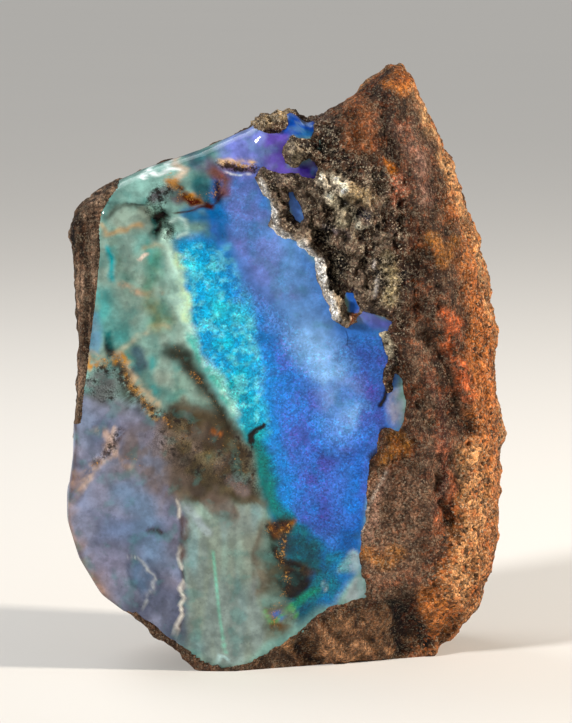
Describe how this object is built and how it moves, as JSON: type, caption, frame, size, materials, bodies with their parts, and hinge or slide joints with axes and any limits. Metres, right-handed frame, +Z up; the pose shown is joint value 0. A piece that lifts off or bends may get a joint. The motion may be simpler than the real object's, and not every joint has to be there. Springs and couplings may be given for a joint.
{
  "type": "boulder opal specimen",
  "caption": "Upright hand specimen of brown ironstone with a sandstone rind, ground flat on one side to bare a polished seam of blue and green precious opal; it stands on its own flat foot.",
  "frame": {"origin": "the middle of the block's bounding box seen from above, on the surface that it stands on", "axes": "+Z up; the polished opal face looks along -Y and the natural rounded back along +Y; +X is to the right of someone who faces the opal"},
  "size_m": [0.1042, 0.0584, 0.1441],
  "materials": {
    "ironstone": "matt brown ironstone and granular sandstone, orange-tan on the rind and dark in the crust, with cream and rust crumbs",
    "precious_opal": "polished and glossy; violet-blue to turquoise with pinfire grain, grey-green and pale blue potch, and dark ironstone bands"
  },
  "bodies": {
    "root": {"ironstone_boulder": "ironstone", "opal_seam": "precious_opal"}
  },
  "joints": []
}
